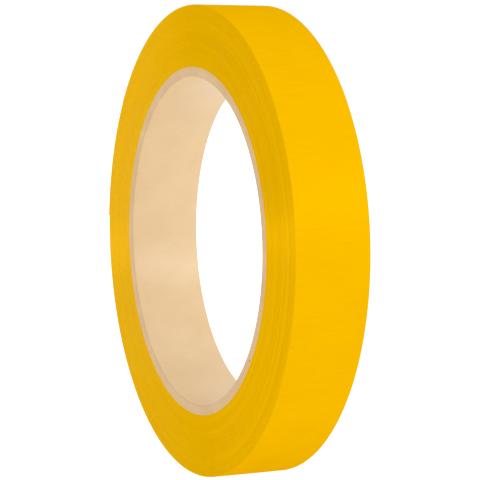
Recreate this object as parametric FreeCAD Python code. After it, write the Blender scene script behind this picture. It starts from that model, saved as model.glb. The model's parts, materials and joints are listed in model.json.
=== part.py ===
import FreeCAD, Part
import os
from math import cos, degrees, pi, radians, sin, sqrt

from FreeCAD import Vector

# A roll of masking tape standing on its rim. The axis of the roll is Y, and the origin is the
# middle of the core's bore. A place on the rim is an angle from +X towards +Z.
# Lengths are in millimetres and angles in degrees.

# the paper tube that the tape is wound on
bore_radius = 38.1  # a 3 inch core, which fits a 76 mm dispenser hub
seam_gap = 0.3  # the butt joint between neighbouring turns of a ply's strip
seam_lay = 29.0  # how far the seam, as the strip's edge, leans from the rim's direction
core_plies = [  # name, thickness and the angle of the seam's middle, from the bore outwards
    ("core_liner_ply", 0.42, 340.0),
    ("core_inner_ply", 0.50, 95.0),
    ("core_middle_ply", 0.50, 205.0),
    ("core_outer_ply", 0.50, 300.0),
    ("core_wrap_ply", 0.38, 50.0),
]

# the tape, one strip wound outwards with the angle growing
tape_width = 17.5  # slit a little under the trade width of 18
tape_thickness = 0.13  # paper backing and adhesive coat together
tape_length = 33000.0

# the free end, the stretch of the outermost lap that a finger can lift
free_end_length = 24.0
free_end_angle = 178.0  # where the cut edge lies on the rim
free_end_radius = 57.5  # a little flatter than the roll, so that the cut edge stands off it
free_end_clearance = 0.03  # between the free end and the lap below it, where it leaves the roll
peel_gap = 0.1  # between the free end and the lap that it continues
tooth_count = 12  # the cut edge is toothed, as a dispenser's blade leaves it
tooth_depth = 0.9

# worked out from those
seam_reach = 1.2 * tape_width / sin(radians(seam_lay))
core_radius = bore_radius + sum(thickness for name, thickness, seam in core_plies)
roll_radius = sqrt(core_radius**2 + tape_length * tape_thickness / pi)
lap_count = (roll_radius - core_radius) / tape_thickness

# A spiral lap is two half turns about two centres, a quarter of the thickness either side of
# the axis, so that the radius grows by one thickness in a turn with no corner.
centre_offset = tape_thickness / 4
first_half_radius = roll_radius - 3 * centre_offset
second_half_radius = roll_radius - centre_offset
peel_angle = free_end_angle - degrees(free_end_length / roll_radius)  # the free end leaves here


def direction(angle):
    """The unit vector that points outwards at a place on the rim."""
    return Vector(cos(radians(angle)), 0, sin(radians(angle)))


def along(angle):
    """The unit vector along the rim, towards growing angles."""
    return Vector(-sin(radians(angle)), 0, cos(radians(angle)))


first_centre = direction(free_end_angle) * -centre_offset
second_centre = direction(free_end_angle) * centre_offset

# the middle of the line that the free end turns about, the outer corner of the last lap's end
peel_line = second_centre + direction(peel_angle) * second_half_radius


def arc(centre, radius, start, end):
    """An arc in the plane of one side of the roll."""
    points = [centre + direction(a) * radius for a in (start, (start + end) / 2, end)]
    return Part.Arc(*points).toShape()


def lap_arcs(depth, end):
    """The outside of the last lap but 'depth', from the lap's start to the angle 'end'."""
    start = free_end_angle - 360
    sunk = depth * tape_thickness
    return [
        arc(first_centre, first_half_radius - sunk, start, start + 180),
        arc(second_centre, second_half_radius - sunk, start + 180, end),
    ]


def strip_between(outside, inside):
    """The solid between two runs of arcs, over the whole width of the tape."""
    start = Part.LineSegment(inside[0].firstVertex().Point, outside[0].firstVertex().Point)
    end = Part.LineSegment(outside[-1].lastVertex().Point, inside[-1].lastVertex().Point)
    edges = [*outside, end.toShape(), *inside, start.toShape()]
    return across_the_width(Part.Face(Part.Wire(Part.__sortEdges__(edges))))


def across_the_width(face):
    """The solid that a face in the plane y = 0 sweeps over the width of the tape."""
    face.translate(Vector(0, -tape_width / 2, 0))
    return face.extrude(Vector(0, tape_width, 0))


def disc(radius):
    return Part.makeCylinder(radius, tape_width, Vector(0, -tape_width / 2, 0), Vector(0, 1, 0))


def core_ply(inner, outer, seam):
    """One ply of the tube: a ring that its slanting butt joint leaves open."""
    joint = Part.makeBox(1.1 * outer, seam_gap, seam_reach)
    joint.translate(Vector(0, -seam_gap / 2, -seam_reach / 2))
    joint.rotate(Vector(), Vector(1, 0, 0), seam_lay)
    joint.rotate(Vector(), Vector(0, 1, 0), -seam)
    return disc(outer).cut(disc(inner)).cut(joint)


def core():
    """All plies of the tube, from the bore outwards."""
    plies, inner = {}, bore_radius
    for name, thickness, seam in core_plies:
        plies[name] = core_ply(inner, inner + thickness, seam)
        inner += thickness
    return plies


def wound_tape():
    """Every lap but the last, which the adhesive holds together as one body."""
    halves = lap_arcs(1, free_end_angle)
    step = Part.LineSegment(halves[1].lastVertex().Point, halves[0].firstVertex().Point)
    outline = Part.Wire([*halves, step.toShape()])
    return across_the_width(Part.Face(outline)).cut(disc(core_radius))


def outer_lap():
    """The last lap, up to where the free end leaves it."""
    return strip_between(lap_arcs(0, peel_angle), lap_arcs(1, peel_angle))


def free_end():
    """The stretch that lifts, a little flatter than the roll and with a toothed cut edge."""
    out, forward = direction(peel_angle), along(peel_angle)
    root = peel_line + out * (free_end_clearance - tape_thickness) + forward * peel_gap
    centre = root - out * free_end_radius
    tip_angle = peel_angle + degrees((free_end_length - peel_gap) / free_end_radius)
    end = tip_angle + degrees(tooth_depth / free_end_radius)
    inside = arc(centre, free_end_radius, peel_angle, end)
    outside = arc(centre, free_end_radius + tape_thickness, peel_angle, end)
    strip = strip_between([outside], [inside])
    tip = centre + direction(tip_angle) * free_end_radius
    return strip.cut(past_the_teeth(tip, tip_angle))


def past_the_teeth(tip, angle):
    """The room past a zigzag across the strip, whose points reach out to 'tip'."""
    forward, out = along(angle), direction(angle)
    pitch = tape_width / tooth_count
    zigzag = []
    for corner in range(2 * tooth_count + 1):
        back = tooth_depth * ((corner + 1) % 2)
        zigzag.append(tip - forward * back + Vector(0, (corner * pitch - tape_width) / 2, 0))
    spare = Vector(0, pitch, 0)
    far = forward * (3 * tooth_depth)
    first, last = zigzag[0] - spare, zigzag[-1] + spare
    outline = Part.makePolygon([first, *zigzag, last, last + far, first + far, first])
    outline.translate(out * -tape_thickness)
    return Part.Face(outline).extrude(out * (3 * tape_thickness))


def main():
    os.makedirs("parts", exist_ok=True)
    nodes = core()
    nodes["wound_tape"] = wound_tape()
    nodes["outer_lap"] = outer_lap()
    nodes["free_end"] = free_end()
    for name, shape in nodes.items():
        shape.exportStep(f"parts/{name}.step")
        print(name, "valid", shape.isValid(), "solids", len(shape.Solids), round(shape.Volume, 2))
    print("laps", round(lap_count, 1), "outside diameter", round(2 * roll_radius, 2))
    print("core outside diameter", round(2 * core_radius, 2))
    print("peel line", [round(v, 4) for v in peel_line], "at", round(peel_angle, 3))


main()
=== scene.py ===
import json
import math
import random

import bpy
from mathutils import Matrix, Vector


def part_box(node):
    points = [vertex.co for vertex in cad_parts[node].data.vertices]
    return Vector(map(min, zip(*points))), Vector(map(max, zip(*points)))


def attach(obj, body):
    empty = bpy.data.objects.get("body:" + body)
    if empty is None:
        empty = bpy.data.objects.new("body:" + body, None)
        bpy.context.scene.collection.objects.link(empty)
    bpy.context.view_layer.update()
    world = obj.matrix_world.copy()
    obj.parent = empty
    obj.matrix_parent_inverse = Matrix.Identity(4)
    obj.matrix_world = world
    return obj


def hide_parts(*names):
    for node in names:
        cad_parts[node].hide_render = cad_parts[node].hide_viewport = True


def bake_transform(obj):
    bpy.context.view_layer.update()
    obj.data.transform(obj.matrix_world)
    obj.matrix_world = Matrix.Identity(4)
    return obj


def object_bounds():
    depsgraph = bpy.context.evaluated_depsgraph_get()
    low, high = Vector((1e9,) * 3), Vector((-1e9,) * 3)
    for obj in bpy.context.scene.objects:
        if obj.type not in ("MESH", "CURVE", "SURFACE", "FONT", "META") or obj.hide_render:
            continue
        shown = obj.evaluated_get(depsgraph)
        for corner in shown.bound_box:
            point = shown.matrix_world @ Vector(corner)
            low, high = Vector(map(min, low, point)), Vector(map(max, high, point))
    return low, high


# A roll of masking tape standing on its rim. Metres; the roll's axis is Y and its middle is
# the origin. A place on the rim is an angle from +X towards +Z.

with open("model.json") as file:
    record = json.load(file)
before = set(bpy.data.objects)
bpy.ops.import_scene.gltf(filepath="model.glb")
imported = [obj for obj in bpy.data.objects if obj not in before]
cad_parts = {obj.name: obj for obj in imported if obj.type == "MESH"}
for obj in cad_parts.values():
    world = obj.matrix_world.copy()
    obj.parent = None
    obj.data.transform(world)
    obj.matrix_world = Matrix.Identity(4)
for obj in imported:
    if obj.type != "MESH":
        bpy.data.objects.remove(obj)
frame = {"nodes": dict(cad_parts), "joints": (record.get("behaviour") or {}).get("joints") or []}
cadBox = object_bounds()
mm = 0.001
samePlace = 0.01 * mm  # two places nearer than this are one
print("frame loaded")


def direction(angle):
    # outwards at a place on the rim
    return Vector((math.cos(angle), 0, math.sin(angle)))


def along(angle):
    # along the rim, towards growing angles
    return Vector((-math.sin(angle), 0, math.cos(angle)))


def rimRadius(co):
    return math.hypot(co.x, co.z)


def inSidePlane(co):
    # the same place without its distance along the axis
    return Vector((co.x, 0, co.z))


def facesOutwards(face):
    return inSidePlane(face.center).dot(face.normal) > 0


def deselectAll():
    if bpy.context.object and bpy.context.object.mode != "OBJECT":
        bpy.ops.object.mode_set(mode="OBJECT")
    bpy.ops.object.select_all(action="DESELECT")


def named(name):
    # the object that was just added, under its own name
    piece = bpy.context.object
    piece.name = name
    piece.data.name = name
    return piece


def selectWhere(piece, kind, test):
    # in edit mode, selects the vertices, edges or faces that pass the test
    bpy.ops.mesh.select_mode(type=kind)
    bpy.ops.mesh.select_all(action="DESELECT")
    bpy.ops.object.mode_set(mode="OBJECT")
    parts = {"VERT": piece.data.vertices, "EDGE": piece.data.edges, "FACE": piece.data.polygons}
    for part in parts[kind]:
        part.select = bool(test(part))
    bpy.ops.object.mode_set(mode="EDIT")


def applied(piece, kind, **settings):
    # one modifier, set and applied
    bpy.context.view_layer.objects.active = piece
    modifier = piece.modifiers.new(kind.lower(), kind)
    for name, value in settings.items():
        setattr(modifier, name, value)
    bpy.ops.object.modifier_apply(modifier=modifier.name)


def thickenedInwards(piece, thickness):
    # an open sheet made solid, with its outer side left where it is
    outwards = sum(1 if facesOutwards(face) else -1 for face in piece.data.polygons)
    applied(piece, "SOLIDIFY", thickness=thickness, offset=-1 if outwards > 0 else 1)


def finishSurface(piece, sharpAngle):
    # faces outward, smooth but for the real edges
    deselectAll()
    piece.select_set(True)
    bpy.context.view_layer.objects.active = piece
    bpy.ops.object.transform_apply(location=True, rotation=True, scale=True)
    bpy.ops.object.mode_set(mode="EDIT")
    bpy.ops.mesh.select_all(action="SELECT")
    bpy.ops.mesh.normals_make_consistent(inside=False)
    bpy.ops.object.mode_set(mode="OBJECT")
    bpy.ops.object.shade_smooth_by_angle(angle=math.radians(sharpAngle))


def paint(piece, materials, chooser):
    # the piece's materials, and which of them each face has
    piece.data.materials.clear()
    for material in materials:
        piece.data.materials.append(material)
    for face in piece.data.polygons:
        face.material_index = chooser(face)


def toLinear(hexColour):
    channels = [int(hexColour[i:i + 2], 16) / 255 for i in (1, 3, 5)]
    linear = [c / 12.92 if c <= 0.04045 else ((c + 0.055) / 1.055) ** 2.4 for c in channels]
    return (*linear, 1.0)


def addNode(tree, kind, settings, links):
    # a node, its settings by property name, socket name or socket number, and what feeds it
    node = tree.nodes.new(kind)
    for name, value in settings.items():
        if isinstance(name, str) and hasattr(node, name):
            setattr(node, name, value)
        else:
            node.inputs[name].default_value = value
    for name, output in links.items():
        tree.links.new(output, node.inputs[name])
    return node


def newMaterial(name, **sockets):
    # a material, with what is the same all over it set on the shader's own sockets
    material = bpy.data.materials.new(name)
    material.use_nodes = True
    tree = material.node_tree
    shader = tree.nodes["Principled BSDF"]
    for socket, value in sockets.items():
        shader.inputs[socket.replace("_", " ")].default_value = value
    place = addNode(tree, "ShaderNodeTexCoord", {}, {}).outputs["Object"]
    return material, tree, shader, place


def noise(tree, place, size, detail, roughness=0.5):
    # soft spots of about that size, from 0 to 1
    settings = {"Scale": 1 / size, "Detail": detail, "Roughness": roughness}
    return addNode(tree, "ShaderNodeTexNoise", settings, {"Vector": place}).outputs["Fac"]


def mixed(tree, share, first, second):
    # two hex colours mixed by a share
    settings = {"data_type": "RGBA", 6: toLinear(first), 7: toLinear(second)}
    return addNode(tree, "ShaderNodeMix", settings, {0: share}).outputs[2]


def overlaid(tree, share, below, colour):
    # a hex colour laid over what is below it
    settings = {"data_type": "RGBA", 7: toLinear(colour)}
    return addNode(tree, "ShaderNodeMix", settings, {0: share, 6: below}).outputs[2]


def stretch(tree, value, oldRange, newRange=(0, 1)):
    # a value's range moved to another, and cut off there
    settings = {"From Min": oldRange[0], "From Max": oldRange[1],
                "To Min": newRange[0], "To Max": newRange[1]}
    return addNode(tree, "ShaderNodeMapRange", settings, {"Value": value}).outputs["Result"]


def joined(tree, operation, first, second):
    settings = {"operation": operation}
    return addNode(tree, "ShaderNodeMath", settings, {0: first, 1: second}).outputs["Value"]


def relief(tree, shader, height, distance):
    # small ups and downs that only the light shows
    bump = addNode(tree, "ShaderNodeBump", {"Distance": distance}, {"Height": height})
    tree.links.new(bump.outputs["Normal"], shader.inputs["Normal"])
    return bump.outputs["Normal"]


def tintedGloss(tree, shader, look, links):
    # mixes in a gloss of the paper's own colour, where the shader's own would be white
    gloss = addNode(tree, "ShaderNodeBsdfAnisotropic",
                    {"Color": toLinear(look["glossTint"]), "Roughness": look["glossRoughness"],
                     "Anisotropy": look["anisotropy"]}, links)
    both = addNode(tree, "ShaderNodeMixShader", {0: look["gloss"]},
                   {1: shader.outputs["BSDF"], 2: gloss.outputs["BSDF"]})
    tree.links.new(both.outputs["Shader"], tree.nodes["Material Output"].inputs["Surface"])


backingLook = {
    "colour": "#CB9900",
    "shade": "#C79500",
    "gloss": 0.05,
    "glossTint": "#FFC400",
    "glossRoughness": 0.45,
    "anisotropy": 0.0,
    "roughness": 0.5,
    "wrinkle": 0.5 * mm,  # the pitch of a fine crepe
    "wrinkleAcross": 0.1,  # and so ten times as long across the strip
    "wrinkleHeight": 0.005 * mm,
    "fibre": 0.18 * mm,  # real ones are a fifth of that, too fine to show
    "fibreShare": 0.3,
    "cloud": 12 * mm,
    "toneRange": (0.75, 1.25),  # of clouds and wrinkles together, from shade to colour
}


def makeBacking():
    # creped paper, saturated with rubber and coloured through: even, matt and nearly smooth, with
    # fine wrinkles across the strip that show only close up
    material, tree, shader, place = newMaterial("crepedPaperBacking", Specular_IOR_Level=0.0,
                                                Roughness=backingLook["roughness"])
    across = addNode(tree, "ShaderNodeMapping", {"Scale": (1, backingLook["wrinkleAcross"], 1)},
                     {"Vector": place})
    wrinkles = noise(tree, across.outputs["Vector"], backingLook["wrinkle"], detail=2,
                     roughness=0.55)
    fibres = noise(tree, place, backingLook["fibre"], detail=2)
    clouds = noise(tree, place, backingLook["cloud"], detail=2)
    tone = stretch(tree, joined(tree, "ADD", clouds, wrinkles), backingLook["toneRange"])
    tree.links.new(mixed(tree, tone, backingLook["shade"], backingLook["colour"]),
                   shader.inputs["Base Color"])
    weakFibres = stretch(tree, fibres, (0, 1), (0, backingLook["fibreShare"]))
    normal = relief(tree, shader, joined(tree, "ADD", wrinkles, weakFibres),
                    backingLook["wrinkleHeight"])
    tintedGloss(tree, shader, backingLook, {"Normal": normal})
    return material


edgeLook = {
    "colour": "#C89A00",
    "shade": "#C39300",
    # a greyer yellow laid over soft patches of the edges: painted sheen
    "paintedSheen": "#C6970E",
    "gloss": 0.14,
    "glossTint": "#FFC400",
    "glossRoughness": 0.5,
    "anisotropy": 0.8,
    "roughness": 0.55,
    "lapRing": 0.26 * mm,  # two laps, because a single one is too fine to show
    "lapDrift": 3.0,  # how much the rings change on the way round
    "bandRing": 0.9 * mm,  # about seven laps that were wound alike
    "bandDrift": 1.2,
    "ringHeight": 0.006 * mm,
    "toneRange": (0.3, 0.7),  # of the bands, from shade to colour
    # the size of the painted sheen patches, and how much of them shows
    "paintedSheenPatch": 18 * mm,
    "paintedSheenRange": (0.5, 0.75),
    "paintedSheenMost": 0.35,
}


def ringPlace(tree, place, ringWidth, drift):
    # coordinates in which a noise makes rings of that width, which change along the rim by drift
    apart = addNode(tree, "ShaderNodeVectorMath", {"operation": "MULTIPLY", 1: (1, 0, 1)},
                    {0: place}).outputs["Vector"]
    radius = addNode(tree, "ShaderNodeVectorMath", {"operation": "LENGTH"}, {0: apart})
    rings = addNode(tree, "ShaderNodeMath", {"operation": "DIVIDE", 1: ringWidth},
                    {0: radius.outputs["Value"]}).outputs["Value"]
    outwards = addNode(tree, "ShaderNodeVectorMath", {"operation": "NORMALIZE"}, {0: apart})
    aroundRim = addNode(tree, "ShaderNodeVectorMath", {"operation": "SCALE", "Scale": drift},
                        {0: outwards.outputs["Vector"]}).outputs["Vector"]
    ringNumber = addNode(tree, "ShaderNodeCombineXYZ", {}, {"Y": rings}).outputs["Vector"]
    return addNode(tree, "ShaderNodeVectorMath", {"operation": "ADD"},
                   {0: aroundRim, 1: ringNumber}).outputs["Vector"]


def makeEdge():
    # the slit side of the wound tape: the knife-cut edges of all laps, a matt face with fine rings
    # whose gloss spreads across the rings, so it is a little brighter to the left and right
    material, tree, shader, place = newMaterial("slitTapeEdges", Specular_IOR_Level=0.0,
                                                Roughness=edgeLook["roughness"])
    bandPlace = ringPlace(tree, place, edgeLook["bandRing"], edgeLook["bandDrift"])
    bands = noise(tree, bandPlace, 1, detail=4, roughness=0.6)
    lapPlace = ringPlace(tree, place, edgeLook["lapRing"], edgeLook["lapDrift"])
    laps = noise(tree, lapPlace, 1, detail=1)
    # soft patches of a greyer yellow laid over the rings: painted sheen, in place of gloss spots
    # on the cut edges
    paintedSheenShare = stretch(tree, noise(tree, place, edgeLook["paintedSheenPatch"], detail=1),
                   edgeLook["paintedSheenRange"], (0, edgeLook["paintedSheenMost"]))
    tone = mixed(tree, stretch(tree, bands, edgeLook["toneRange"]), edgeLook["shade"],
                 edgeLook["colour"])
    tree.links.new(overlaid(tree, paintedSheenShare, tone, edgeLook["paintedSheen"]), shader.inputs["Base Color"])
    normal = relief(tree, shader, joined(tree, "ADD", laps, bands), edgeLook["ringHeight"])
    tangent = addNode(tree, "ShaderNodeTangent", {"direction_type": "RADIAL", "axis": "Y"}, {})
    tintedGloss(tree, shader, edgeLook,
                {"Normal": normal, "Tangent": tangent.outputs["Tangent"]})
    return material


adhesiveLook = {
    "colour": "#EBCB62",
    "shade": "#DDB23C",
    "ior": 1.52,
    "roughness": 0.32,
    "grain": 0.35 * mm,
    "grainHeight": 0.008 * mm,
    "toneRange": (0.3, 0.7),
}


def makeAdhesive():
    # roller-coated rubber adhesive: paler than the paper that shows through it, slightly wet gloss
    material, tree, shader, place = newMaterial(
        "rollerCoatedRubberAdhesive", IOR=adhesiveLook["ior"],
        Roughness=adhesiveLook["roughness"])
    grain = noise(tree, place, adhesiveLook["grain"], detail=3)
    tone = stretch(tree, grain, adhesiveLook["toneRange"])
    tree.links.new(mixed(tree, tone, adhesiveLook["shade"], adhesiveLook["colour"]),
                   shader.inputs["Base Color"])
    relief(tree, shader, grain, adhesiveLook["grainHeight"])
    return material


# calendered: pressed smooth, so it has a soft gloss; cut and grey board: matt and rough
boardLooks = {
    "calenderedLinerPaper": {
        "colour": "#CCB189", "shade": "#C7AA82", "fleck": "#BB9C70",
        "roughness": 0.3, "fibreLength": 2 * mm, "fibreHeight": 0.004 * mm},
    "knifeCutBoard": {
        "colour": "#BDA07B", "shade": "#B1946F", "fleck": "#A78A64",
        "roughness": 0.85, "fibreLength": 0.6 * mm, "fibreHeight": 0.03 * mm},
    "recycledInnerBoard": {
        "colour": "#BCA07A", "shade": "#B0936D", "fleck": "#A78A64",
        "roughness": 0.85, "fibreLength": 0.6 * mm, "fibreHeight": 0.03 * mm},
}


# what all three boards share
boardFibres = {
    "ior": 1.45,
    "width": 0.25 * mm,  # a bundle, because a single fibre is too fine to show
    "lean": 0.6,
    "cloud": 7 * mm,
    "toneRange": (0.8, 1.3),  # of fibres and clouds together, from shade to colour
    "fleckRange": (0.70, 0.78),
    "fleckMost": 0.5,
    "roughRange": (0.4, 0.7),
    "roughSpread": 0.1,
}


def makeBoard(name):
    # paperboard: cloudy in tone, with short crossing fibres and small darker flecks
    look = boardLooks[name]
    material, tree, shader, place = newMaterial(name, IOR=boardFibres["ior"])
    width = boardFibres["width"]
    layers = []
    for lean in (boardFibres["lean"], -boardFibres["lean"]):
        turned = addNode(tree, "ShaderNodeMapping",
                         {"Rotation": (lean, lean, lean),
                          "Scale": (1, width / look["fibreLength"], 1)}, {"Vector": place})
        layers.append(noise(tree, turned.outputs["Vector"], width, detail=2, roughness=0.6))
    fibres = joined(tree, "MAXIMUM", *layers)
    clouds = noise(tree, place, boardFibres["cloud"], detail=3)
    tone = stretch(tree, joined(tree, "ADD", fibres, clouds), boardFibres["toneRange"])
    flecks = stretch(tree, layers[0], boardFibres["fleckRange"], (0, boardFibres["fleckMost"]))
    tree.links.new(overlaid(tree, flecks, mixed(tree, tone, look["shade"], look["colour"]),
                            look["fleck"]), shader.inputs["Base Color"])
    roughness = (look["roughness"], look["roughness"] + boardFibres["roughSpread"])
    tree.links.new(stretch(tree, fibres, boardFibres["roughRange"], roughness),
                   shader.inputs["Roughness"])
    relief(tree, shader, fibres, look["fibreHeight"])
    return material


backing = makeBacking()
edge = makeEdge()
adhesive = makeAdhesive()
linerPaper = makeBoard("calenderedLinerPaper")
cutBoard = makeBoard("knifeCutBoard")
innerBoard = makeBoard("recycledInnerBoard")
print("materials made")


hinge = Vector(frame["joints"][0]["pos_m"])  # the outer corner of the last lap's end
rim = rimRadius(hinge)
peelAngle = math.atan2(hinge.z, hinge.x)
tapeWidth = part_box("wound_tape")[1].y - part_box("wound_tape")[0].y
coreRadius = max(rimRadius(v.co) for v in frame["nodes"]["core_wrap_ply"].data.vertices)

tape = {
    "thickness": 0.13 * mm,
    "gap": 0.004 * mm,  # tells the laps' edges apart
    "wander": 0.03 * mm,  # how far a lap may stand out sideways
    "stepsPerLap": 144,
    "seed": 11,
    "sharpAngle": 35,
    "sideNormal": 0.7,  # a face whose normal points further along the axis is a side
}


def lapWander(laps):
    # how far each lap stands out sideways; nothing where the free end joins on
    draw = random.Random(tape["seed"])
    offsets = [0.0, 0.0] + [draw.uniform(-1, 1) * tape["wander"] for lap in range(laps + 1)]

    def at(turn):
        lap = int(turn)
        return offsets[lap] + (offsets[lap + 1] - offsets[lap]) * (turn - lap)

    return at


def makeWoundTape():
    # the strip's section, screwed round once per lap at the rim and then drawn in lap by lap
    deselectAll()
    thickness = tape["thickness"]
    sheet = thickness - tape["gap"]
    turns = (rim - coreRadius) / thickness - 1
    laps = math.ceil(turns)
    bpy.ops.mesh.primitive_plane_add(size=1)
    piece = named("tape_laps")
    bpy.ops.object.mode_set(mode="EDIT")
    bpy.ops.mesh.select_all(action="SELECT")
    bpy.ops.mesh.delete(type="ONLY_FACE")
    bpy.ops.mesh.select_all(action="SELECT")
    bpy.ops.transform.resize(value=(sheet, tapeWidth - 2 * tape["wander"], 1))
    bpy.ops.transform.translate(value=(rim - sheet / 2, 0, 0))
    bpy.ops.object.mode_set(mode="OBJECT")
    applied(piece, "SCREW", axis="Y", angle=math.tau * turns / laps, iterations=laps,
            steps=tape["stepsPerLap"], render_steps=tape["stepsPerLap"],
            screw_offset=0, use_merge_vertices=False, use_normal_calculate=False)

    # the screw's vertices come section by section, inwards from the peel line
    corners = 4
    sections = len(piece.data.vertices) // corners
    wander = lapWander(laps)
    for vertex in piece.data.vertices:
        turn = turns * (vertex.index // corners) / (sections - 1)
        radius = rimRadius(vertex.co) - turn * thickness
        if turn > turns - 1 and rimRadius(vertex.co) < rim - sheet / 2:
            radius = coreRadius + tape["gap"]  # the first lap lies on the core
        place = direction(peelAngle - turn * math.tau) * radius
        vertex.co = (place.x, vertex.co.y + wander(turn), place.z)

    bpy.ops.object.mode_set(mode="EDIT")
    lastEnd = direction(peelAngle) * (rim - sheet / 2)
    firstEnd = direction(peelAngle - turns * math.tau) * (rim - turns * thickness - sheet / 2)
    for end in (lastEnd, firstEnd):
        selectWhere(piece, "VERT", lambda v: (inSidePlane(v.co) - end).length < thickness / 2)
        bpy.ops.mesh.edge_face_add()
    finishSurface(piece, tape["sharpAngle"])
    return piece


def tapeFace(face):
    # 0 backing, 1 cut edge, 2 adhesive
    if abs(face.normal.y) > tape["sideNormal"]:
        return 1
    return 0 if facesOutwards(face) else 2


tapeLaps = makeWoundTape()
paint(tapeLaps, [backing, edge, adhesive], tapeFace)
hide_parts("wound_tape", "outer_lap")
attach(tapeLaps, "roll")
print("tape wound", len(tapeLaps.data.polygons), "faces")


freeEnd = {
    "length": 24 * mm,
    "radius": 57.5 * mm,  # a little flatter than the roll, so its cut edge stands off
    "toothCount": 12,
    "toothDepth": 0.9 * mm,
    "lengthSteps": 32,
    "bendLength": 7 * mm,  # how much of it curls when it is peeled
}


def makeFreeEnd():
    # a line across the strip, spun about the centre of its flatter curve, toothed and thickened
    deselectAll()
    halfWidth = tapeWidth / 2 - tape["wander"]
    columns = 2 * freeEnd["toothCount"]
    bpy.ops.mesh.primitive_grid_add(x_subdivisions=1, y_subdivisions=columns, size=1)
    piece = named("tape_free_end")
    bpy.ops.object.mode_set(mode="EDIT")
    selectWhere(piece, "VERT", lambda v: v.co.x > 0)
    bpy.ops.mesh.delete(type="VERT")
    bpy.ops.mesh.select_all(action="SELECT")
    bpy.ops.transform.resize(value=(1, 2 * halfWidth, 1))
    gridHalf = Vector((0.5, 0, 0))  # the line that is left stood half the grid's size off
    bpy.ops.transform.translate(value=hinge + gridHalf)
    centre = hinge - direction(peelAngle) * freeEnd["radius"]
    span = freeEnd["length"] / freeEnd["radius"]
    bpy.ops.mesh.spin(steps=freeEnd["lengthSteps"], angle=span, center=centre, axis=(0, 1, 0))

    # every other corner of the cut edge goes back, which makes the teeth
    tip = centre + direction(peelAngle + span) * freeEnd["radius"]
    pitch = 2 * halfWidth / columns

    def isValley(v):
        column = round((v.co.y + halfWidth) / pitch)
        return (inSidePlane(v.co) - tip).length < samePlace and column % 2 == 0

    selectWhere(piece, "VERT", isValley)
    bpy.ops.transform.translate(value=along(peelAngle + span) * -freeEnd["toothDepth"])
    bpy.ops.mesh.select_all(action="SELECT")
    bpy.ops.mesh.normals_make_consistent(inside=False)
    bpy.ops.object.mode_set(mode="OBJECT")
    thickenedInwards(piece, tape["thickness"] - tape["gap"])
    finishSurface(piece, tape["sharpAngle"])
    return piece


def freeEndFace(face):
    # 0 backing and cut edges, 1 adhesive
    return 0 if abs(face.normal.y) > tape["sideNormal"] or facesOutwards(face) else 1


tapeEnd = makeFreeEnd()
paint(tapeEnd, [backing, adhesive], freeEndFace)
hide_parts("free_end")
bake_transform(tapeEnd)
print("free end made", len(tapeEnd.data.polygons), "faces")


core = {
    "segments": 192,
    "seamGap": 0.12 * mm,
    "seamLay": math.radians(29),  # how far the seam leans from the rim's direction
    "slitDepth": 1.1,  # times the ply's radius, so the slab goes right through it
    "slitReach": 1.2,  # times the ply's width, so the slab goes past both ends
    "edgeRound": 0.012 * mm,
    "boreEdgeRound": 0.3 * mm,  # burnished by the knife, which softens the bore's edge
    "roundSteps": 4,
    "sharpAngle": 50,
    "cutNormal": 0.35,  # a face whose normal points further along the axis is cut
    # node, where its seam is, the material of its faces and of its cut ends
    "plies": [
        ("core_liner_ply", 340, linerPaper, cutBoard),
        ("core_inner_ply", 95, innerBoard, innerBoard),
        ("core_middle_ply", 205, cutBoard, cutBoard),
        ("core_outer_ply", 300, innerBoard, innerBoard),
        ("core_wrap_ply", 50, cutBoard, cutBoard),
    ],
}


def makeSlit(angle, outer):
    # what the butt joint leaves open, a thin slab from the axis outwards that leans against the
    # rim's direction
    depth = core["slitDepth"]
    reach = core["slitReach"] * tapeWidth / math.sin(core["seamLay"])
    turn = Matrix.Rotation(-angle, 3, "Y") @ Matrix.Rotation(core["seamLay"], 3, "X")
    bpy.ops.mesh.primitive_cube_add(size=1, location=direction(angle) * (depth / 2) * outer,
                                    rotation=turn.to_euler(),
                                    scale=(depth * outer, core["seamGap"], reach))
    slit = named("slit")
    bpy.ops.object.transform_apply(location=True, rotation=True, scale=True)
    return slit


def makePly(node, seam, faceMaterial, cutMaterial):
    # an open tube, thickened inwards, with softened rims, and then slit along the leaning seam
    deselectAll()
    radii = [rimRadius(v.co) for v in frame["nodes"][node].data.vertices]
    inner, outer = min(radii), max(radii)
    bpy.ops.mesh.primitive_cylinder_add(vertices=core["segments"], radius=outer, depth=tapeWidth,
                                        end_fill_type="NOTHING", rotation=(math.pi / 2, 0, 0))
    piece = named(node.replace("ply", "paper"))
    bpy.ops.object.transform_apply(location=True, rotation=True, scale=True)
    thickenedInwards(piece, outer - inner)

    innerRound = core["boreEdgeRound"] if node == "core_liner_ply" else core["edgeRound"]
    bpy.ops.object.mode_set(mode="EDIT")
    for radius, edgeRound in ((inner, innerRound), (outer, core["edgeRound"])):
        selectWhere(piece, "VERT", lambda v: abs(rimRadius(v.co) - radius) < samePlace)
        bpy.ops.mesh.bevel(offset=edgeRound, segments=core["roundSteps"], affect="EDGES")
    bpy.ops.object.mode_set(mode="OBJECT")

    slit = makeSlit(math.radians(seam), outer)
    applied(piece, "BOOLEAN", operation="DIFFERENCE", object=slit)
    bpy.data.objects.remove(slit)
    finishSurface(piece, core["sharpAngle"])
    paint(piece, [faceMaterial, cutMaterial],
          lambda face: 1 if abs(face.normal.y) > core["cutNormal"] else 0)
    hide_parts(node)
    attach(piece, "roll")
    return piece


for ply in core["plies"]:
    made = makePly(*ply)
    print("core ply made", made.name, len(made.data.polygons), "faces")


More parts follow.
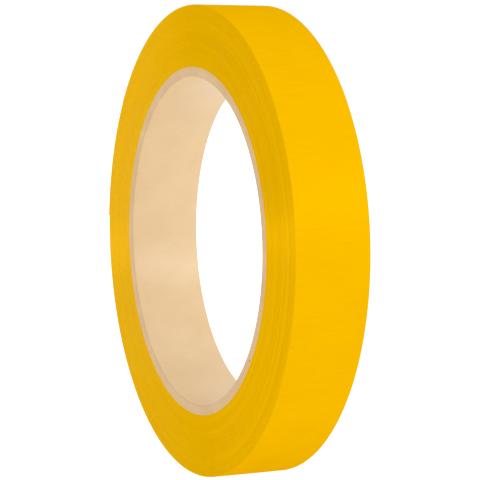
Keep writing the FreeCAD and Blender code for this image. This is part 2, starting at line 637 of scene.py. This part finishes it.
stage = {
    "floorRadius": 8.0,
    "floorColour": "#919190",
    "floorFleck": "#959594",
    "floorRoughness": 0.9,
    "floorGrain": 40 * mm,
    "floorGlow": 1.08,  # a backlit white table, which keeps the shadow under the roll faint
    "domeLight": 1.04,
    # place, what it points at, width and height in metres, watts
    "softboxes": {
        "boreBandBox": ((0.89, 0.41, 0.35), (0, 0, 0), (0.9, 0.07), 3.4),
        "overheadBox": ((0.35, 0.0, 1.1), (0.1, 0, 0), (0.9, 0.9), 3.6),
        "frontBox": ((-0.1, -1.0, 0.0), (0, 0, 0), (0.5, 0.15), 1.6),
    },
}


def makeFloor():
    # opal white and lit from below: plain, pale and without gloss
    deselectAll()
    bpy.ops.mesh.primitive_circle_add(vertices=96, radius=stage["floorRadius"], fill_type="NGON",
                                      location=(0, 0, cadBox[0].z))
    floor = named("studio_floor")
    material, tree, shader, place = newMaterial(
        "mattBacklitTable", Roughness=stage["floorRoughness"], Emission_Color=(1, 1, 1, 1),
        Emission_Strength=stage["floorGlow"])
    grain = noise(tree, place, stage["floorGrain"], detail=2)
    tree.links.new(mixed(tree, grain, stage["floorColour"], stage["floorFleck"]),
                   shader.inputs["Base Color"])
    floor.data.materials.append(material)


def makeWorld():
    # an even dome of white light
    world = bpy.data.worlds.new("whiteStudio")
    bpy.context.scene.world = world
    world.use_nodes = True
    background = world.node_tree.nodes["Background"]
    background.inputs["Color"].default_value = (1, 1, 1, 1)
    background.inputs["Strength"].default_value = stage["domeLight"]


def makeSoftboxes():
    for name, (place, target, size, power) in stage["softboxes"].items():
        light = bpy.data.lights.new(name, "AREA")
        light.shape = "RECTANGLE"
        light.size, light.size_y = size
        light.energy = power
        lamp = bpy.data.objects.new(name, light)
        bpy.context.scene.collection.objects.link(lamp)
        lamp.location = place
        lamp.rotation_euler = (Vector(target) - Vector(place)).to_track_quat("-Z", "Y").to_euler()


camera = {
    "azimuth": math.radians(65.45),
    "elevation": math.radians(4.82),
    "distance": 438 * mm,
    "lens": 140.0,
    "sensor": 36,
    "nearest": 0.01,
    "farthest": 20,
    "aimRight": 3.2 * mm,  # the middle of the picture is this far right of the roll's middle
}


def makeCamera():
    azimuth, elevation = camera["azimuth"], camera["elevation"]
    level = Vector((math.sin(azimuth), -math.cos(azimuth), 0))
    back = level * math.cos(elevation) + Vector((0, 0, math.sin(elevation)))
    right = Vector((math.cos(azimuth), math.sin(azimuth), 0))
    data = bpy.data.cameras.new("camera")
    data.lens = camera["lens"]
    data.sensor_width = camera["sensor"]
    data.clip_start, data.clip_end = camera["nearest"], camera["farthest"]
    eye = bpy.data.objects.new("camera", data)
    bpy.context.scene.collection.objects.link(eye)
    eye.location = right * camera["aimRight"] + back * camera["distance"]
    eye.rotation_euler = (-back).to_track_quat("-Z", "Y").to_euler()
    bpy.context.scene.camera = eye


makeFloor()
makeWorld()
makeSoftboxes()
makeCamera()
bpy.context.scene.view_settings.view_transform = "Standard"
print("stage set")
